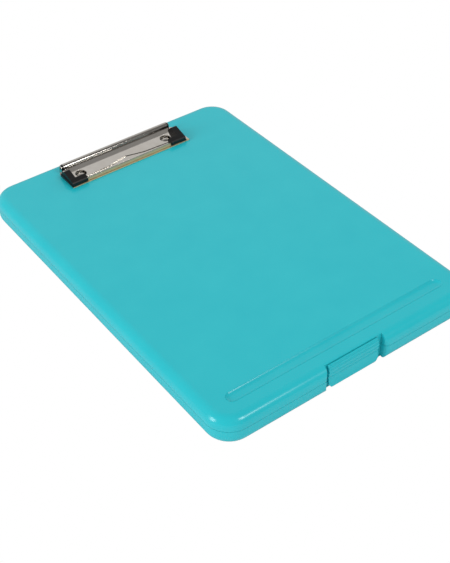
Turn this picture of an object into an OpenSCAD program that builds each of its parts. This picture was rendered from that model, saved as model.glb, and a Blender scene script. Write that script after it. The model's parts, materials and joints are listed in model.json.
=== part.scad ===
// Storage clipboard box: a shallow tray with a hinged lid that is the writing board.
// Frame: +Z up, +Y towards the lid's hinge, -Y towards the latch, +X to the right.
// The origin is the centre of the case's plan, on the surface it lies on.

/* [Case] */
// Width of the closed case, left to right
case_w = 241; // [230:1:260]
// Length of the closed case, latch face to hinge face
case_l = 340; // [330:1:360]
// Thickness of the closed case
case_h = 25; // [25:0.5:30]
// Radius of the four corners in plan
corner_r = 20.5; // [18:0.5:26]
// Radius of the lid's rolled top edge
top_roll = 8; // [7:0.5:9]
// Radius of the tray's rolled bottom edge
bottom_roll = 8.5; // [7:0.5:9]
// Thickness of the side walls
wall = 2.2; // [2:0.1:2.6]
// Thickness of the lid's writing surface
board_t = 2.4; // [2.2:0.1:2.8]
// Thickness of the tray's floor
floor_t = 2.4; // [2:0.1:2.8]
// Height at which the lid and the tray part
parting_z = 14.7; // [14:0.1:15.4]

/* [Pencil groove] */
// Length of the groove, end to end
groove_l = 203; // [150:1:210]
// Width of the groove at the board's surface
groove_w = 10.2; // [8:0.1:11]
// Depth of the groove
groove_depth = 1.6; // [1:0.1:1.6]
// Distance of the groove's middle from the latch face
groove_from_front = 21.6; // [18:0.1:24]

/* [Latch] */
// Width of the recess that the latch sits in
recess_w = 54.6; // [54:0.2:70]
// Depth of the recess
recess_depth = 6.2; // [6.2:0.1:7]
// Width of the latch tab
latch_w = 47; // [40:0.2:47]
// Distance of the latch from the board's centre line
latch_x = -1; // [-1.5:0.5:1.5]
// Radius of the recess's rounded mouth
mouth_r = 4; // [2:0.5:4]
// Number of finger grooves across the latch
grip_grooves = 4; // [3:1:4]

/* [Lid hinge] */
// Distance of the hinge axis behind the case
hinge_reach = 2; // [2:0.1:2.5]
// Radius of the hinge knuckles
knuckle_r = 3; // [2.8:0.1:3.2]
// Radius of the two hinge pins
hinge_pin_r = 1.2; // [1:0.05:1.4]
// Distance of each hinge from the case's centre line
hinge_x = 78; // [50:1:85]

/* [Clip] */
// Width of the clip's base plate
clip_w = 120.6; // [120:0.2:123]
// Distance of the jaw and its rivets from the board's centre line
jaw_x = -2; // [-2:0.5:2]
// Distance between the two rivets
rivet_spacing = 88; // [87:0.1:89]
// Thickness of the clip's steel sheet
sheet_t = 0.8; // [0.7:0.05:0.85]
// Outer radius of the jaw's rolled back
roll_r = 3.05; // [3.05:0.05:3.2]
// Distance of the clip's pivot from the hinge face
pivot_from_back = 16; // [16:0.5:20]

/* [Hidden] */
$fn = 96;

teal = "#3cbcc8";
nickel = "#c3bcb8";
black = "#16181a";
steel = "#9a9c9e";

part_gap = 0.3;                     // between faces of pieces that move past each other
pin_gap = 0.05;                     // running fit, on the radius
far = 60;                           // longer than any feature that a cut has to clear

front_y = -case_l / 2;
back_y = case_l / 2;
tray_top = parting_z - part_gap / 2;
lid_bottom = parting_z + part_gap / 2;

// Tongue that stands up inside the tray's rim and centres the lid
tongue_t = 1;
tongue_h = 1.5;
tongue_root = 3;
tongue_inset = wall + part_gap;

recess_y = front_y + recess_depth;

hinge_y = back_y + hinge_reach;
hinge_z = parting_z;
lid_knuckle_l = 20;
tray_knuckle_l = 11;
knuckle_pitch = lid_knuckle_l / 2 + part_gap + tray_knuckle_l / 2;
hinge_l = 2 * knuckle_pitch + tray_knuckle_l;
web_drop = 5.8;
web_out = 2.6;
web_z = 1.5;

// Latch: the tab turns on a pin near the tray's floor and reaches up past the lid's edge
latch_heel_r = 1.7;
latch_axis_y = recess_y - part_gap - latch_heel_r;
latch_axis_z = 3.35;
latch_pin_r = 0.5;
latch_pin_l = 38;
latch_crown_z = 18.6;
latch_top_z = 23.6;
latch_bulge_y = recess_y - 3.3;
latch_waist_y = recess_y - 2.8;
latch_waist_z = 11;
latch_back_y = recess_y - 0.9;
latch_hook_y = recess_y - 0.45;
latch_hook_z = 20.3;
latch_corner_r = 6.2;
lug_x = 13;
lug_w = 3.2;
lug_r = 1;
catch_w = 30;
catch_z = 17.6;
catch_h = 1.6;
catch_out = 0.3;
grip_r = 1;
grip_out = 0.45;
grip_pitch = 3.7;
foot_r = mouth_r - 0.1;

// Groove: a flat floor between two arcs that meet the board at a steep angle
groove_slope = 50;
groove_side_r = groove_depth / (1 - cos(groove_slope));
groove_floor = groove_w / 2 - groove_side_r * sin(groove_slope);

// Clip: a riveted base plate, and a jaw that turns on a rod in its rolled back
base_top = case_h + sheet_t;
pivot_y = back_y - pivot_from_back;
pivot_z = case_h + 5.25;
clip_front_y = pivot_y - 26.2;
clip_back_y = pivot_y + 2.2;
clip_corner_r = 6;
rod_r = 1.1;
ear_x = 55.3;
ear_r = 2.3;
rivet_y = pivot_y - 14.2;
rivet_shank_r = 1.9;
rivet_head_r = 4.2;
rivet_head_h = 2.2;
washer_r = 4.5;
rivet_tail = 0.9;

// Jaw: a flat plate that ramps up behind into a rolled tube, with its front edge turned down
jaw_w = 115.8;
ramp_y = pivot_y - 7.5;
ramp_slope = 17.8;
plate_top = pivot_z - roll_r + sheet_t;
jaw_lip_y = pivot_y - 23.75;
jaw_edge_y = pivot_y - 24.7;
jaw_side_y = pivot_y - 6.5;
jaw_bottom = base_top + part_gap;
roll_w = 107.8;
window_start = -130;
window_end = -20;
window_w = 13;
hole_r = 5;

// Brim along the front edge, a little higher than the plate, so that a finger gets under it
brim_h = 0.7;
brim_slope = 15.5;
brim_end = [jaw_w / 2, pivot_y - 21.7];
brim_knee = [17, pivot_y - 19.4];
brim_peak = [0, pivot_y - 15.2];

coil_r = 1.6;
wire_r = 0.33;
coil_turns = 12;
coil_pitch = 0.7;
spring_x = 25;
spring_leg_x = spring_x + coil_turns * coil_pitch / 2 - wire_r;
spring_leg_y = pivot_y - 13;

// Rubber cap over each front corner, which rises to a peak beside the roll
cap_out = 1.2;
cap_step = 0.6;
cap_front_w = 15.7;
cap_side_w = 6.2;
cap_front_y = jaw_edge_y - 1.1;
cap_back_y = pivot_y - 5.3;
cap_leg_y = pivot_y - 19.4;
cap_peak_y = pivot_y - 10.5;
cap_peak_z = case_h + 8.8;
cap_nose_z = case_h + 5.1;
cap_skirt_z = case_h + 3.9;
wing_y = pivot_y - 21.5;
wing_peak_z = cap_peak_z - 1;

// ---- shapes that repeat ----

// Plan outline with round corners, pulled in by inset all round
module plan(inset) {
    w = case_w - 2 * inset;
    l = case_l - 2 * inset;
    r = corner_r - inset;
    square([w - 2 * r, l], center = true);
    square([w, l - 2 * r], center = true);
    for (sx = [-1, 1], sy = [-1, 1])
        translate([sx * (w / 2 - r), sy * (l / 2 - r)]) circle(r);
}

// The same outline with the latch recess left out, its walls inset too
module recessed_plan(inset) {
    difference() {
        plan(inset);
        translate([-recess_w / 2 - inset, front_y - 1])
            square([recess_w + 2 * inset, recess_depth + 1 + inset]);
    }
}

// Half section of an upright wall with its top edge rolled inwards
module rolled_edge(reach, h, roll) {
    intersection() {
        square([reach, h]);
        union() {
            square([reach, h - roll]);
            square([reach - roll, h]);
            translate([reach - roll, h - roll]) circle(roll);
        }
    }
}

module rolled_section(half, h, roll) {
    rolled_edge(half, h, roll);
    mirror([1, 0]) rolled_edge(half, h, roll);
}

// Block of the case's plan, pulled in by inset, from z 0 up to h, its top edge rolled
module rolled_block(inset, h, roll) {
    w = case_w / 2 - inset;
    l = case_l / 2 - inset;
    r = corner_r - inset;
    translate([0, l - r, 0]) rotate([90, 0, 0])
        linear_extrude(2 * (l - r)) rolled_section(w, h, roll);
    translate([r - w, 0, 0]) rotate([90, 0, 90])
        linear_extrude(2 * (w - r)) rolled_section(l, h, roll);
    for (sx = [-1, 1], sy = [-1, 1])
        translate([sx * (w - r), sy * (l - r), 0])
            rotate(sx > 0 ? (sy > 0 ? 0 : -90) : (sy > 0 ? 90 : 180))
                rotate_extrude(angle = 90) rolled_edge(r, h, roll);
}

// Bar along X, from x0 over a length, with a section drawn in Y and Z
module bar(x0, length) {
    translate([x0, 0, 0]) rotate([90, 0, 90]) linear_extrude(length) children();
}

// Round rod or hole along X, centred on x
module rod(x, length, r, y, z) {
    translate([x - length / 2, y, z]) rotate([0, 90, 0]) cylinder(h = length, r = r);
}

// Straight piece of spring wire, with a rounded bend at its start
module wire(from, to) {
    run = to - from;
    length = norm(run);
    translate(from) {
        sphere(wire_r + 0.02);
        rotate([0, acos(run[2] / length), atan2(run[1], run[0])]) cylinder(h = length, r = wire_r);
    }
}

// ---- latch recess ----

function mouth_arc(side) = [
    for (a = [8:12:80])
        [side * (recess_w / 2 + mouth_r * (1 - sin(a))), front_y + mouth_r * (1 - cos(a))]
];

// Corner that is left over when a bottom edge is rounded
module foot_section() {
    translate([mouth_r - foot_r, 0]) difference() {
        translate([0, -1]) square(foot_r + 1);
        translate([0, foot_r]) circle(1.06 * foot_r);
    }
}

// Everything that the recess takes out of the case, with a rounded mouth and rounded bottom edges
module recess_cut() {
    left = mouth_arc(-1);
    for (s = [-1, 1])
        translate([s * (recess_w / 2 + mouth_r), front_y + mouth_r, 0])
            mirror([s > 0 ? 1 : 0, 0, 0]) {
                rotate(-90) rotate_extrude(angle = 90) foot_section();
                translate([0, recess_depth - mouth_r + 0.6, 0]) rotate([90, 0, 0])
                    linear_extrude(recess_depth - mouth_r + 0.6) foot_section();
            }
    translate([0, 0, -1]) linear_extrude(case_h + 2) polygon(concat(
        [[-recess_w / 2, recess_y]],
        [for (i = [len(left) - 1:-1:0]) left[i]],
        [[-recess_w / 2 - mouth_r, front_y - 1], [recess_w / 2 + mouth_r, front_y - 1]],
        mouth_arc(1),
        [[recess_w / 2, recess_y]]
    ));
}

// Block that stays solid round the recess, so that the recess has walls
module recess_wall() {
    translate([-recess_w / 2 - wall, front_y - 1, -1])
        cube([recess_w + 2 * wall, recess_depth + wall + 1, case_h + 2]);
}

// ---- lid hinge ----

// Knuckle with its web; side is +1 for the lid above the axis, -1 for the tray below it
module knuckle(x, length, side) {
    rod(x, length, knuckle_r, hinge_y, hinge_z);
    bar(x - length / 2, length)
        translate([0, hinge_z]) mirror([0, side > 0 ? 0 : 1]) polygon([
            [back_y - wall + 0.1, part_gap / 2], [back_y - wall + 0.1, web_drop],
            [back_y - 1, web_drop], [hinge_y + web_out, web_z], [hinge_y, part_gap / 2]
        ]);
}

module hinge_holes(x, r) {
    rod(x, hinge_l + 2, r, hinge_y, hinge_z);
}

// ---- tray ----

module tray_tongue() {
    translate([0, 0, tray_top - tongue_root]) linear_extrude(tongue_root) difference() {
        recessed_plan(wall - 0.1);
        recessed_plan(tongue_inset + tongue_t);
    }
    translate([0, 0, tray_top - tongue_root]) linear_extrude(tongue_root + tongue_h) difference() {
        recessed_plan(tongue_inset);
        recessed_plan(tongue_inset + tongue_t);
    }
}

module tray_shell() {
    difference() {
        translate([0, 0, tray_top]) mirror([0, 0, 1]) rolled_block(0, tray_top, bottom_roll);
        difference() {
            translate([0, 0, tray_top + 1]) mirror([0, 0, 1])
                rolled_block(wall, tray_top + 1 - floor_t, bottom_roll - wall);
            recess_wall();
        }
        recess_cut();
    }
}

module latch_lug(x) {
    bar(x - lug_w / 2, lug_w) {
        translate([latch_axis_y, latch_axis_z]) circle(lug_r);
        translate([latch_axis_y, latch_axis_z - lug_r])
            square([recess_y + 0.2 - latch_axis_y, 2 * lug_r]);
    }
}

module base_tray() {
    color(teal) difference() {
        union() {
            tray_shell();
            tray_tongue();
            for (s = [-1, 1]) {
                latch_lug(latch_x + s * lug_x);
                for (k = [-1, 1])
                    knuckle(s * hinge_x + k * knuckle_pitch, tray_knuckle_l, -1);
            }
        }
        for (s = [-1, 1]) {
            rod(s * hinge_x, lid_knuckle_l + 2 * part_gap, knuckle_r + part_gap, hinge_y, hinge_z);
            hinge_holes(s * hinge_x, hinge_pin_r);
        }
        rod(latch_x, latch_pin_l, latch_pin_r, latch_axis_y, latch_axis_z);
    }
}

// ---- lid ----

// Side of the groove from its floor up to the board's surface, as distances from the groove's middle
groove_side = [
    for (i = [0:10]) let (a = groove_slope * i / 10)
        [groove_floor + groove_side_r * sin(a), case_h - groove_depth + groove_side_r * (1 - cos(a))]
];

// Long trough with round ends
module groove_cut() {
    half = (groove_l - groove_w) / 2;
    top = case_h + 1;
    translate([0, front_y + groove_from_front, 0]) {
        bar(-half, 2 * half) polygon(concat(
            [for (i = [10:-1:0]) [-groove_side[i][0], groove_side[i][1]]], groove_side,
            [[groove_w / 2, top], [-groove_w / 2, top]]
        ));
        for (s = [-1, 1]) translate([s * half, 0, 0]) rotate_extrude()
            polygon(concat([[0, groove_side[0][1]]], groove_side, [[groove_w / 2, top], [0, top]]));
    }
}

module lid_shell() {
    difference() {
        translate([0, 0, lid_bottom]) rolled_block(0, case_h - lid_bottom, top_roll);
        difference() {
            translate([0, 0, lid_bottom - 1])
                rolled_block(wall, case_h - board_t - lid_bottom + 1, top_roll - wall);
            recess_wall();
        }
        recess_cut();
    }
}

module lid() {
    color(teal) difference() {
        union() {
            lid_shell();
            translate([latch_x - catch_w / 2, recess_y - catch_out, catch_z])
                cube([catch_w, catch_out + 0.2, catch_h]);
            for (s = [-1, 1]) knuckle(s * hinge_x, lid_knuckle_l, 1);
        }
        groove_cut();
        for (s = [-1, 1]) {
            for (k = [-1, 1])
                rod(s * hinge_x + k * knuckle_pitch, tray_knuckle_l + 2 * part_gap,
                    knuckle_r + part_gap, hinge_y, hinge_z);
            hinge_holes(s * hinge_x, hinge_pin_r + pin_gap);
            translate([jaw_x + s * rivet_spacing / 2, rivet_y, case_h - board_t - 1])
                cylinder(h = board_t + 2, r = rivet_shank_r);
        }
    }
}

module hinge_pin(side) {
    color(steel) rod(side * hinge_x, hinge_l, hinge_pin_r, hinge_y, hinge_z);
}

// ---- latch ----

crown_reach = latch_hook_y - latch_bulge_y;
crown_rise = latch_top_z - latch_crown_z;
function crown_point(a) = [latch_hook_y - crown_reach * cos(a), latch_crown_z + crown_rise * sin(a)];
function waist_point(t) = [
    latch_waist_y + (latch_bulge_y - latch_waist_y) * pow(sin(90 * t), 2),
    latch_waist_z + (latch_crown_z - latch_waist_z) * t
];

// Side outline: rounded crown, waist below it, and a round heel on the pin
module latch_section() {
    polygon(concat(
        [for (a = [90:-7.5:0]) crown_point(a)],
        [for (t = [0.8:-0.2:0]) waist_point(t)],
        [[latch_axis_y - latch_heel_r, latch_axis_z], [latch_axis_y + 0.6, latch_axis_z],
         [latch_back_y, latch_waist_z], [latch_back_y, latch_hook_z - 1], [latch_hook_y, latch_hook_z]]
    ));
    translate([latch_axis_y, latch_axis_z]) circle(latch_heel_r);
}

// Front outline with large lower corners
module latch_front() {
    low = latch_axis_z - latch_heel_r;
    half = latch_w / 2;
    translate([-half, low + latch_corner_r])
        square([latch_w, latch_top_z + 1 - low - latch_corner_r]);
    translate([latch_corner_r - half, low]) square([latch_w - 2 * latch_corner_r, far / 6]);
    for (s = [-1, 1])
        translate([s * (half - latch_corner_r), low + latch_corner_r]) circle(latch_corner_r);
}

// Middle of finger groove i, just outside the front face
function grip_point(i) =
    i == 0 ? crown_point(50) + grip_out * [-cos(50), sin(50)]
    : i == 1 ? crown_point(17) + grip_out * [-cos(17), sin(17)]
    : waist_point(1 - (i - 1.4) * grip_pitch / (latch_crown_z - latch_waist_z)) - [grip_out, 0];

module latch() {
    pocket = lug_r + part_gap;
    color(teal) translate([latch_x, 0, 0]) difference() {
        intersection() {
            bar(-latch_w / 2, latch_w) latch_section();
            translate([0, front_y + recess_depth + 1, 0]) rotate([90, 0, 0])
                linear_extrude(recess_depth + 3) latch_front();
        }
        for (i = [0:grip_grooves - 1])
            rod(0, latch_w + 2, grip_r, grip_point(i)[0], grip_point(i)[1]);
        for (s = [-1, 1])
            translate([s * lug_x - lug_w / 2 - part_gap, latch_axis_y - pocket, latch_axis_z - 2 * pocket])
                cube([lug_w + 2 * part_gap, pocket + 2 * latch_heel_r, 3 * pocket]);
        rod(0, latch_pin_l, latch_pin_r + pin_gap, latch_axis_y, latch_axis_z);
    }
}

module latch_pin() {
    color(steel) rod(latch_x, latch_pin_l, latch_pin_r, latch_axis_y, latch_axis_z);
}

// ---- clip ----

// Flat plate with a rounded front edge and two round rear corners
module clip_plate() {
    front = clip_front_y + sheet_t / 2;
    translate([-clip_w / 2, front, case_h])
        cube([clip_w, clip_back_y - clip_corner_r - front, sheet_t]);
    rod(0, clip_w, sheet_t / 2, front, case_h + sheet_t / 2);
    translate([clip_corner_r - clip_w / 2, clip_back_y - clip_corner_r - 1, case_h])
        cube([clip_w - 2 * clip_corner_r, clip_corner_r + 1, sheet_t]);
    for (s = [-1, 1])
        translate([s * (clip_w / 2 - clip_corner_r), clip_back_y - clip_corner_r, case_h])
            cylinder(h = sheet_t, r = clip_corner_r);
}

// Upright ear that holds the rod's end
module clip_ear(side) {
    bar(jaw_x + side * (ear_x + sheet_t / 2) - sheet_t / 2, sheet_t) {
        translate([pivot_y, pivot_z]) circle(ear_r);
        translate([pivot_y - ear_r, case_h]) square([2 * ear_r, pivot_z - case_h]);
    }
}

module clip_base() {
    color(nickel) difference() {
        union() {
            clip_plate();
            for (s = [-1, 1]) clip_ear(s);
        }
        for (s = [-1, 1]) {
            translate([jaw_x + s * rivet_spacing / 2, rivet_y, case_h - 1])
                cylinder(h = sheet_t + 2, r = rivet_shank_r);
            rod(jaw_x + s * ear_x, 4, rod_r + 0.02, pivot_y, pivot_z);
        }
    }
}

// Fan of points that reaches past the roll, between two angles measured from +Y
function sector(a0, a1) = concat(
    [[0, 0]],
    [for (i = [0:4]) let (a = a0 + (a1 - a0) * i / 4) 2 * roll_r * [cos(a), sin(a)]]
);

// Height of the ramp's top at y
function ramp_z(y) = plate_top + (y - ramp_y) * tan(ramp_slope);

// Plate with a ramp up to its rolled back, and a wing that stands up inside each cap
module jaw_plate() {
    low = plate_top - sheet_t;
    drop = sheet_t / cos(ramp_slope);
    ramp_end = pivot_y - roll_r + sheet_t / 2;
    translate([-jaw_w / 2, jaw_lip_y, low]) cube([jaw_w, ramp_y - jaw_lip_y, sheet_t]);
    for (s = [-1, 1])
        translate([s * (jaw_w + roll_w) / 4 - (jaw_w - roll_w) / 4, ramp_y - 1, low])
            cube([(jaw_w - roll_w) / 2, jaw_side_y - ramp_y + 1, sheet_t]);
    bar(-roll_w / 2, roll_w) {
        polygon([
            [ramp_y - 1, low], [ramp_y - 1, plate_top], [ramp_y, plate_top],
            [ramp_end, ramp_z(ramp_end)], [ramp_end + 0.3, ramp_z(ramp_end + 0.3) - drop],
            [ramp_y + 0.1, ramp_z(ramp_y + 0.1) - drop]
        ]);
        difference() {
            translate([pivot_y, pivot_z]) circle(roll_r);
            translate([pivot_y, pivot_z]) circle(roll_r - sheet_t);
        }
    }
    for (s = [-1, 1])
        bar(s * (jaw_w - sheet_t) / 2 - sheet_t / 2, sheet_t) polygon([
            [wing_y, low], [wing_y, plate_top + 1], [cap_peak_y, wing_peak_z],
            [jaw_side_y, plate_top + 0.5], [jaw_side_y, low]
        ]);
}

// All that lies in front of the line from p to q, ramped up from the plate to the brim's height
module brim_side(p, q) {
    run = q - p;
    translate([p[0], p[1], 0]) rotate(atan2(run[1], run[0]))
        bar(-2 * far, 4 * far) polygon([
            [0, plate_top - sheet_t], [0, plate_top],
            [-brim_h / tan(brim_slope), plate_top + brim_h],
            [-far, plate_top + brim_h], [-far, plate_top - sheet_t]
        ]);
}

// Raised strip from y0 back to its bowed rear edge
module brim(y0) {
    flip = [[-1, 0], [0, 1]];
    intersection() {
        translate([-jaw_w / 2, y0, 0]) cube([jaw_w, far, far]);
        union() {
            intersection() {
                brim_side(flip * brim_end, flip * brim_knee);
                brim_side(brim_knee, brim_end);
            }
            intersection() {
                brim_side(flip * brim_knee, brim_peak);
                brim_side(brim_peak, brim_knee);
            }
        }
    }
}

// Sheet of the jaw, before its holes: the brim's underside is hollow, as a pressed sheet's is
module jaw_sheet() {
    difference() {
        union() {
            jaw_plate();
            brim(jaw_lip_y);
        }
        translate([0, 0, -sheet_t]) brim(jaw_lip_y + 1.2 * sheet_t);
    }
    bar(-jaw_w / 2, jaw_w) polygon([
        [jaw_lip_y, plate_top + brim_h], [jaw_edge_y, jaw_bottom], [jaw_edge_y + sheet_t, jaw_bottom],
        [jaw_lip_y + 1.3 * sheet_t, plate_top + brim_h - sheet_t],
        [jaw_lip_y + 1.3 * sheet_t, plate_top + brim_h]
    ]);
}

module clip_jaw() {
    color(nickel) translate([jaw_x, 0, 0]) difference() {
        jaw_sheet();
        for (s = [-1, 1]) {
            translate([s * rivet_spacing / 2, rivet_y, base_top]) cylinder(h = far, r = hole_r);
            // window under the roll for the spring
            bar(s * spring_x - window_w / 2, window_w)
                translate([pivot_y, pivot_z]) polygon(sector(window_start, window_end));
        }
    }
}

module clip_rod() {
    color(steel) rod(jaw_x, 2 * (ear_x + sheet_t + 0.6), rod_r, pivot_y, pivot_z);
}

// Flanged bush in the end of the roll
module rod_bush(side) {
    length = ear_x - part_gap - roll_w / 2;
    color(black) translate([jaw_x, 0, 0]) difference() {
        union() {
            rod(side * (roll_w / 2 + length / 2), length, roll_r - 0.3, pivot_y, pivot_z);
            rod(side * (roll_w / 2 - 1.5), 3.2, roll_r - sheet_t - 0.02, pivot_y, pivot_z);
        }
        rod(side * roll_w / 2, 12, rod_r + pin_gap, pivot_y, pivot_z);
    }
}

// Torsion spring: close coils round the rod, and a leg that reaches forward along the base plate
module clip_spring(side) {
    coil_l = coil_turns * coil_pitch;
    leg_x = side * spring_leg_x;
    leg_z = base_top + wire_r + pin_gap;
    heel = [leg_x, pivot_y - 1, leg_z];
    color(steel) translate([jaw_x, 0, 0]) {
        translate([side * spring_x, pivot_y, pivot_z]) rotate([0, 90, 0]) {
            for (i = [0:coil_turns - 1])
                translate([0, 0, coil_pitch * (i + 0.5) - coil_l / 2])
                    rotate_extrude() translate([coil_r, 0]) circle(wire_r);
            difference() {
                cylinder(h = coil_l - coil_pitch, r = coil_r + wire_r / 2, center = true);
                cylinder(h = coil_l, r = coil_r - wire_r / 2, center = true);
            }
        }
        wire([leg_x, pivot_y - 0.6, pivot_z - 1.48], heel);
        wire(heel, [leg_x, spring_leg_y, leg_z]);
    }
}

// Rivet with a domed head, and its tail spread under the washer
module rivet(side) {
    dome_r = (rivet_head_r * rivet_head_r + rivet_head_h * rivet_head_h) / (2 * rivet_head_h);
    washer_low = case_h - board_t - sheet_t;
    color(nickel) translate([jaw_x + side * rivet_spacing / 2, rivet_y, 0]) rotate_extrude() {
        intersection() {
            translate([0, base_top]) square([rivet_head_r, rivet_head_h]);
            translate([0, base_top + rivet_head_h - dome_r]) circle(dome_r);
        }
        translate([0, washer_low - rivet_tail])
            square([rivet_shank_r, base_top + 0.1 - washer_low + rivet_tail]);
        polygon([
            [0, washer_low - rivet_tail], [rivet_shank_r + 0.9, washer_low - rivet_tail],
            [rivet_shank_r + 1.1, washer_low - rivet_tail / 2], [rivet_shank_r, washer_low], [0, washer_low]
        ]);
    }
}

module rivet_washer(side) {
    color(steel) translate([jaw_x + side * rivet_spacing / 2, rivet_y, case_h - board_t - sheet_t])
        difference() {
            cylinder(h = sheet_t, r = washer_r);
            translate([0, 0, -1]) cylinder(h = sheet_t + 2, r = rivet_shank_r);
        }
}

// L-shaped grip over a front corner of the jaw: side leg, skirt outside it, and front leg
module corner_cap(side) {
    x1 = jaw_w / 2 + cap_out - cap_step;
    slope = (cap_peak_z - cap_nose_z) / (cap_peak_y - cap_front_y);
    color(black) translate([jaw_x, 0, 0]) mirror([side < 0 ? 1 : 0, 0, 0]) difference() {
        union() {
            bar(x1 + cap_step - cap_side_w, cap_side_w - cap_step) polygon([
                [cap_front_y, jaw_bottom], [cap_front_y, cap_nose_z - 0.9], [cap_front_y + 0.9, cap_nose_z],
                [cap_peak_y - 0.8, cap_peak_z], [cap_peak_y + 0.4, cap_peak_z - 0.4],
                [cap_back_y, cap_skirt_z], [cap_back_y, jaw_bottom]
            ]);
            bar(x1 - 1, cap_step + 1) polygon([
                [cap_front_y - 0.4, jaw_bottom], [cap_front_y - 0.4, jaw_bottom + 1],
                [cap_front_y + 4, cap_skirt_z - 1.2], [cap_peak_y, cap_skirt_z],
                [cap_back_y, cap_skirt_z - 0.3], [cap_back_y, jaw_bottom]
            ]);
            bar(x1 + cap_step - cap_front_w, cap_front_w - cap_step) polygon([
                [cap_front_y + 0.6, jaw_bottom], [cap_front_y, jaw_bottom + 1.2],
                [cap_front_y, cap_nose_z - 0.9], [cap_front_y + 0.9, cap_nose_z],
                [cap_leg_y - 1.2, cap_nose_z + slope * (cap_leg_y - 1.2 - cap_front_y)],
                [cap_leg_y, cap_nose_z], [cap_leg_y, jaw_bottom]
            ]);
        }
        jaw_sheet();
    }
}

base_tray();
lid();
hinge_pin(-1);  // hinge_pin_left
hinge_pin(1);  // hinge_pin_right
latch();
latch_pin();
clip_base();
clip_jaw();
clip_rod();
rod_bush(-1);  // rod_bush_left
rod_bush(1);  // rod_bush_right
clip_spring(-1);  // clip_spring_left
clip_spring(1);  // clip_spring_right
corner_cap(-1);  // corner_cap_left
corner_cap(1);  // corner_cap_right
rivet(-1);  // rivet_left
rivet(1);  // rivet_right
rivet_washer(-1);  // rivet_washer_left
rivet_washer(1);  // rivet_washer_right
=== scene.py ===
import json
from math import cos, pi, radians, sin, tau

import bpy
from mathutils import Matrix, Vector


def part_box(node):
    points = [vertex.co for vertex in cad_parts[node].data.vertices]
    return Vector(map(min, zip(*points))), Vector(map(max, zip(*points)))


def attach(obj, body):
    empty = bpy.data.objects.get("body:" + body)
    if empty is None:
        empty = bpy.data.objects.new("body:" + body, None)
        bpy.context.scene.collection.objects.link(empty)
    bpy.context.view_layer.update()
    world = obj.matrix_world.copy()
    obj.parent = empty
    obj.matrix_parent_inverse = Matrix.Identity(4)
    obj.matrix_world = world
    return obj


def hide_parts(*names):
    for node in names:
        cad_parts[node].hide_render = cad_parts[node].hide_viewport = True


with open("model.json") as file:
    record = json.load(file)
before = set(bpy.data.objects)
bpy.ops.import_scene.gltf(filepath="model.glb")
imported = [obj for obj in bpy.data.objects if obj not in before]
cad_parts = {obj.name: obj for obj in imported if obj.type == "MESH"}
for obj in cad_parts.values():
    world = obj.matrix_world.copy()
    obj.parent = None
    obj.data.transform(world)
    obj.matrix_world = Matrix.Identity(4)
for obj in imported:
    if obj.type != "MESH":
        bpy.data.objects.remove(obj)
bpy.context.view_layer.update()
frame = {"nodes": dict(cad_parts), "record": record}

MM = 0.001


# ---- colour ----

def linear(channel):
    """One sRGB channel, 0 to 1, as scene-linear light."""
    return channel / 12.92 if channel <= 0.04045 else ((channel + 0.055) / 1.055) ** 2.4


def rgb(code):
    """Scene-linear RGBA of an sRGB hex colour."""
    return tuple(linear(int(code[i:i + 2], 16) / 255) for i in (0, 2, 4)) + (1.0,)


def grey(level):
    """Scene-linear RGBA of a plain grey."""
    return (level, level, level, 1.0)


# ---- objects and shader nodes ----

def place(name, data):
    """A new object in the scene that holds this data."""
    placed = bpy.data.objects.new(name, data)
    bpy.context.scene.collection.objects.link(placed)
    return placed


def put(tree, kind, inputs=None, **settings):
    """Adds a node. An input's value is a number or colour, or the output socket that feeds it."""
    node = tree.nodes.new(kind)
    for name, value in settings.items():
        setattr(node, name, value)
    for name, value in (inputs or {}).items():
        if isinstance(value, bpy.types.NodeSocket):
            tree.links.new(value, node.inputs[name])
        else:
            node.inputs[name].default_value = value
    return node


# ---- finishes ----

# Noise mostly lies between these two values, which stand for a pattern's low and high end.
NOISE_SPAN = {"From Min": 0.3, "From Max": 0.7}
ROUND = (1, 1, 1)
EDGE_SAMPLES = 6


def blotches(tree, size_mm, detail, stretch):
    """Noise from 0 to 1 in blotches about size_mm across, drawn out by stretch along each axis."""
    where = put(tree, "ShaderNodeMapping", {
        "Vector": put(tree, "ShaderNodeTexCoord").outputs["Object"],
        "Scale": tuple(1 / (MM * s) for s in stretch),
    })
    return put(tree, "ShaderNodeTexNoise", {
        "Vector": where.outputs["Vector"], "Scale": 1 / size_mm, "Detail": detail,
    }).outputs["Fac"]


def surface(name, tones, cloud, grain, relief_mm, roughness, sheen=None, edge_mm=None, **shader_values):
    """A finish whose tone drifts between two colours over a fine grain, with its edges eased by edge_mm.

    cloud, grain and sheen are each (size in mm, detail, stretch), and carry the tone, the relief and the
    roughness. Without a sheen of its own, the roughness follows the grain.
    """
    material = bpy.data.materials.new(name)
    material.use_nodes = True
    tree = material.node_tree
    tree.nodes.clear()
    drift = put(tree, "ShaderNodeMapRange", {
        "Value": blotches(tree, *cloud), **NOISE_SPAN, "To Min": 0.0, "To Max": 1.0,
    }).outputs["Result"]
    colour = put(tree, "ShaderNodeMix", {0: drift, 6: rgb(tones[0]), 7: rgb(tones[1])}, data_type="RGBA")
    height = blotches(tree, *grain)
    shine = put(tree, "ShaderNodeMapRange", {
        "Value": blotches(tree, *sheen) if sheen else height,
        **NOISE_SPAN, "To Min": roughness[0], "To Max": roughness[1],
    }).outputs["Result"]
    relief = put(tree, "ShaderNodeBump", {"Height": height, "Distance": relief_mm * MM, "Strength": 1.0})
    if edge_mm:
        eased = put(tree, "ShaderNodeBevel", {"Radius": edge_mm * MM}, samples=EDGE_SAMPLES)
        tree.links.new(eased.outputs["Normal"], relief.inputs["Normal"])
    shader = put(tree, "ShaderNodeBsdfPrincipled", {
        "Base Color": colour.outputs[2], "Roughness": shine, "Normal": relief.outputs["Normal"],
        **shader_values,
    })
    put(tree, "ShaderNodeOutputMaterial", {"Surface": shader.outputs["BSDF"]})
    return material


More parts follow.
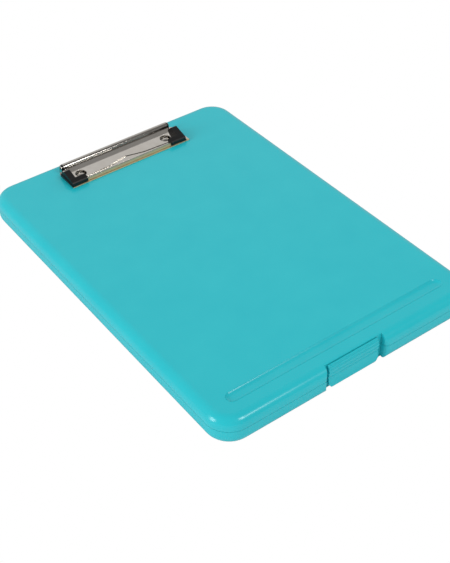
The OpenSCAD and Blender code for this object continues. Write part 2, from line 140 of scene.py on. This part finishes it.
def case_plastic():
    """Turquoise polypropylene, moulded in a satin tool: broad soft highlights and barely any grain."""
    return surface(
        "case_plastic", ("20bbc7", "25bec9"), cloud=(26.0, 3.0, ROUND), grain=(0.8, 2.0, ROUND),
        relief_mm=0.0012, roughness=(0.19, 0.23), sheen=(3.0, 4.0, ROUND), edge_mm=0.2, IOR=1.49,
    )


# The clip's front edges end FOLD_DEPTH behind the jaw's front, and their painted warm reflection and extra
# roughness fade over FOLD_FADE, in mm.
FOLD_DEPTH = 0.6
FOLD_FADE = 0.4
# Painted reflection: a cream-yellow mixed into the metal's colour at the front edges, standing in for the
# warm light they reflect.
FOLD_PAINTED_REFLECTION = "f8e8c0"
FOLD_ROUGHER = 0.5


def clip_metal():
    """Nickel-plated spring steel, cold rolled: a bright mirror with faint lines along the roll.

    The lines are drawn coarser than real rolling marks, so that they show. The front edges, where the
    sheet is folded, are duller, and a cream-yellow painted reflection is mixed into their colour.
    """
    material = surface(
        "clip_metal", ("d9d4cd", "d2ccc4"), cloud=(9.0, 3.0, ROUND), grain=(0.12, 3.0, (160, 1, 1)),
        relief_mm=0.0002, roughness=(0.09, 0.12), edge_mm=0.12, Metallic=1.0,
    )
    tree = material.node_tree
    shader = tree.nodes["Principled BSDF"]
    flat_colour = shader.inputs["Base Color"].links[0].from_socket
    flat_shine = shader.inputs["Roughness"].links[0].from_socket
    where = put(tree, "ShaderNodeTexCoord").outputs["Object"]
    along = put(tree, "ShaderNodeSeparateXYZ", {"Vector": where}).outputs["Y"]
    fold_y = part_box("clip_jaw")[0][1] + FOLD_DEPTH * MM
    # Towards the front edges the roughness rises and the cream-yellow painted reflection is mixed into the
    # colour.
    reflection_and_dullness = put(tree, "ShaderNodeMapRange", {
        "Value": along, "From Min": fold_y, "From Max": fold_y + FOLD_FADE * MM,
        "To Min": 1.0, "To Max": 0.0,
    }).outputs["Result"]
    colour = put(tree, "ShaderNodeMix", {0: reflection_and_dullness, 6: flat_colour, 7: rgb(FOLD_PAINTED_REFLECTION)}, data_type="RGBA")
    shine = put(tree, "ShaderNodeMath", {
        0: reflection_and_dullness, 1: FOLD_ROUGHER, 2: flat_shine,
    }, operation="MULTIPLY_ADD")
    tree.links.new(colour.outputs[2], shader.inputs["Base Color"])
    tree.links.new(shine.outputs["Value"], shader.inputs["Roughness"])
    return material


def pin_steel():
    """Drawn steel wire, unplated: bright but hazy. Its draw marks are coarser than real ones, to show."""
    return surface(
        "pin_steel", ("b4b5b7", "a6a7a9"), cloud=(4.0, 2.0, ROUND), grain=(0.1, 3.0, (60, 1, 1)),
        relief_mm=0.002, roughness=(0.2, 0.34), Metallic=1.0,
    )


def bush_plastic():
    """Black moulded nylon: near black with a soft sheen."""
    return surface(
        "bush_plastic", ("08090a", "0d0e0f"), cloud=(3.0, 2.0, ROUND), grain=(0.3, 3.0, ROUND),
        relief_mm=0.01, roughness=(0.35, 0.45), edge_mm=0.3,
    )


def cap_rubber():
    """Black moulded rubber: near black and matt, with a fine tooth."""
    return surface(
        "cap_rubber", ("050606", "090a0a"), cloud=(3.0, 2.0, ROUND), grain=(0.25, 3.0, ROUND),
        relief_mm=0.01, roughness=(0.4, 0.5), edge_mm=0.3,
    )


FINISHES = {
    "case_plastic": case_plastic(),
    "clip_metal": clip_metal(),
    "pin_steel": pin_steel(),
    "bush_plastic": bush_plastic(),
    "cap_rubber": cap_rubber(),
}

for part in frame["record"]["subparts"]:
    for material_slot in frame["nodes"][part["node"]].material_slots:
        material_slot.material = FINISHES[part["material_slot"]]


# ---- clip springs, as real coils, sizes in mm ----

# These are the sizes of the solid springs that the coils replace.
ROD_CENTRE = sum((Vector(corner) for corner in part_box("clip_rod")), Vector()) / 2 / MM
SPRING_X = 25.0
COIL_R = 1.6
WIRE_R = 0.33
TURNS = 12
PITCH = 0.7
COIL_START = radians(-135)
STEPS_PER_TURN = 20
WIRE_SIDES = 10

# A spring's leg, from its tip along the base plate and up to the coil: Y and Z from the rod's centre.
LEG = ((-13, -4.07), (-7, -4.07), (-1.5, -4.07), (-1.1, -4.0), (-0.95, -3.7), (-0.7, -2.2), (-0.85, -1.6))


def coil_points(side):
    """Centre line of a torsion spring: a leg along the base plate, up to the coil, and round the rod."""
    reach = TURNS * PITCH / 2 - WIRE_R
    outer_x = ROD_CENTRE.x + side * (SPRING_X + reach)
    points = [Vector((outer_x, ROD_CENTRE.y + y, ROD_CENTRE.z + z)) for y, z in LEG]
    count = TURNS * STEPS_PER_TURN
    for i in range(count + 1):
        t = i / count
        angle = COIL_START - tau * TURNS * t
        points.append(Vector((
            outer_x - side * 2 * reach * t,
            ROD_CENTRE.y + COIL_R * cos(angle),
            ROD_CENTRE.z + COIL_R * sin(angle),
        )))
    return points


def wire_mesh(name, points_mm):
    """A closed round wire swept along points."""
    points = [point * MM for point in points_mm]
    ring_normal = Vector((1, 0, 0))
    rings, faces = [], []
    for i, point in enumerate(points):
        ahead = (points[min(i + 1, len(points) - 1)] - points[max(i - 1, 0)]).normalized()
        ring_normal = (ring_normal - ahead * ring_normal.dot(ahead)).normalized()
        across = ahead.cross(ring_normal)
        for k in range(WIRE_SIDES):
            angle = tau * k / WIRE_SIDES
            rings.append(point + WIRE_R * MM * (ring_normal * cos(angle) + across * sin(angle)))
        if i:
            last, this = (i - 1) * WIRE_SIDES, i * WIRE_SIDES
            for k in range(WIRE_SIDES):
                beside = (k + 1) % WIRE_SIDES
                faces.append((last + k, last + beside, this + beside, this + k))
    faces.append(tuple(reversed(range(WIRE_SIDES))))
    faces.append(tuple(range(len(rings) - WIRE_SIDES, len(rings))))
    mesh = bpy.data.meshes.new(name)
    mesh.from_pydata(rings, [], faces)
    mesh.validate()
    for polygon in mesh.polygons:
        polygon.use_smooth = len(polygon.vertices) == 4
    return place(name, mesh)


for side, hand in ((-1, "left"), (1, "right")):
    spring = wire_mesh(f"spring_wire_{hand}", coil_points(side))
    spring.data.materials.append(FINISHES["pin_steel"])
    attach(spring, "lid")
    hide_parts(f"clip_spring_{hand}")


# ---- camera ----

AZIMUTH, ELEVATION, ROLL = radians(-35.2), radians(41.105), radians(1.586)
# Where the origin lies from the camera, in mm: to the right, down and ahead.
ORIGIN_SEEN = Vector((-4.5445, -18.378, 896.783))
FOCAL_PX, FRAME_HEIGHT_PX = 1089.67, 563
SENSOR_MM = 36.0


def add_camera():
    """The camera, whose sensor's height takes in the frame's height."""
    ahead = Vector((-sin(AZIMUTH) * cos(ELEVATION), cos(AZIMUTH) * cos(ELEVATION), -sin(ELEVATION)))
    level = Vector((cos(AZIMUTH), sin(AZIMUTH), 0))
    down = ahead.cross(level)
    rolled_right = level * cos(ROLL) + down * sin(ROLL)
    rolled_down = down * cos(ROLL) - level * sin(ROLL)
    data = bpy.data.cameras.new("camera")
    data.sensor_fit = "VERTICAL"
    data.sensor_height = SENSOR_MM
    data.lens = FOCAL_PX * SENSOR_MM / FRAME_HEIGHT_PX
    camera = place("camera", data)
    turn = Matrix((rolled_right, -rolled_down, -ahead)).transposed()
    to_origin = rolled_right * ORIGIN_SEEN.x + rolled_down * ORIGIN_SEEN.y + ahead * ORIGIN_SEEN.z
    camera.matrix_world = Matrix.Translation(-to_origin * MM) @ turn.to_4x4()
    bpy.context.scene.camera = camera


add_camera()


# ---- floor, lights and surroundings, sizes in metres ----

WHITE = grey(1.0)
FLOOR_SIZE = 12.0
FLOOR_LEVEL = 0.95
FLOOR_LEVEL_IN_GLOSS = 0.62
LIGHT_DISTANCE = 4.0

# The room's far wall stands this way. Its levels run from straight away from it, -1, to straight at it, 1:
# a pale wall that dims towards the table, a dark room above, and dim light from the front.
WALL_WAY = Vector((0.3, 0.954, 0))
WALL_LEVELS = (
    (-1, 0.14), (-0.6, 0.1), (0, 0.09), (0.4, 0.2), (0.6, 0.33),
    (0.8, 0.46), (0.9, 0.46), (0.97, 0.3), (1, 0.2),
)
REFLECTED_STRENGTH = 1.5
SOFT_LEVEL = 0.68


def light(name, way, width, height, radiance):
    """A round or oval softbox that stands this way from the origin and faces it."""
    data = bpy.data.lights.new(name, "AREA")
    data.shape = "ELLIPSE"
    data.size, data.size_y = width, height
    data.energy = radiance * pi * (pi * width * height / 4)
    lamp = place(name, data)
    lamp.location = Vector(way).normalized() * LIGHT_DISTANCE
    lamp.rotation_euler = Vector(way).to_track_quat("Z", "Y").to_euler()
    lamp.visible_camera = False


def add_floor():
    """A pale paper floor, which the camera sees as plain white and gloss sees greyer."""
    mesh = bpy.data.meshes.new("floor")
    half = FLOOR_SIZE / 2
    corners = [(-half, -half, 0), (half, -half, 0), (half, half, 0), (-half, half, 0)]
    mesh.from_pydata(corners, [], [(0, 1, 2, 3)])
    place("floor", mesh)
    material = bpy.data.materials.new("floor_white")
    material.use_nodes = True
    tree = material.node_tree
    tree.nodes.clear()
    rays = put(tree, "ShaderNodeLightPath").outputs
    tone = put(tree, "ShaderNodeMix", {
        0: rays["Is Glossy Ray"], 6: grey(FLOOR_LEVEL), 7: grey(FLOOR_LEVEL_IN_GLOSS),
    }, data_type="RGBA")
    paper = put(tree, "ShaderNodeBsdfDiffuse", {"Color": tone.outputs[2]})
    glow = put(tree, "ShaderNodeEmission", {"Color": WHITE, "Strength": 1.0})
    seen = put(tree, "ShaderNodeMixShader", {
        0: rays["Is Camera Ray"], 1: paper.outputs["BSDF"], 2: glow.outputs["Emission"],
    })
    put(tree, "ShaderNodeOutputMaterial", {"Surface": seen.outputs["Shader"]})
    mesh.materials.append(material)


def add_room():
    """White for the camera, an even grey for matt surfaces, and a room with a pale wall for gloss."""
    world = bpy.data.worlds.new("studio")
    world.use_nodes = True
    world.cycles.sampling_method = "NONE"
    bpy.context.scene.world = world
    tree = world.node_tree
    tree.nodes.clear()
    rays = put(tree, "ShaderNodeLightPath").outputs
    facing = put(tree, "ShaderNodeVectorMath", {
        0: put(tree, "ShaderNodeTexCoord").outputs["Generated"], 1: WALL_WAY,
    }, operation="DOT_PRODUCT").outputs["Value"]
    along = put(tree, "ShaderNodeMapRange", {
        "Value": facing, "From Min": -1.0, "From Max": 1.0, "To Min": 0.0, "To Max": 1.0,
    }).outputs["Result"]
    shade = put(tree, "ShaderNodeValToRGB", {"Fac": along})
    marks = shade.color_ramp.elements
    while len(marks) < len(WALL_LEVELS):
        marks.new(0.5)
    for mark, (at, level) in zip(marks, WALL_LEVELS):
        mark.position = (at + 1) / 2
        mark.color = grey(level)
    reflected = put(tree, "ShaderNodeVectorMath", {
        0: shade.outputs["Color"], "Scale": REFLECTED_STRENGTH,
    }, operation="SCALE").outputs["Vector"]
    room = put(tree, "ShaderNodeMix", {
        0: rays["Is Diffuse Ray"], 6: reflected, 7: grey(SOFT_LEVEL),
    }, data_type="RGBA")
    backdrop = put(tree, "ShaderNodeMix", {
        0: rays["Is Camera Ray"], 6: room.outputs[2], 7: WHITE,
    }, data_type="RGBA")
    background = put(tree, "ShaderNodeBackground", {"Color": backdrop.outputs[2], "Strength": 1.0})
    put(tree, "ShaderNodeOutputWorld", {"Surface": background.outputs["Background"]})


light("softbox_front", way=(0.242, -0.67, 0.701), width=1.25, height=1.25, radiance=9.3)
light("softbox_left", way=(-0.93, 0.131, 0.342), width=1.4, height=2.3, radiance=8.0)
add_floor()
add_room()

bpy.context.scene.view_settings.view_transform = "Standard"
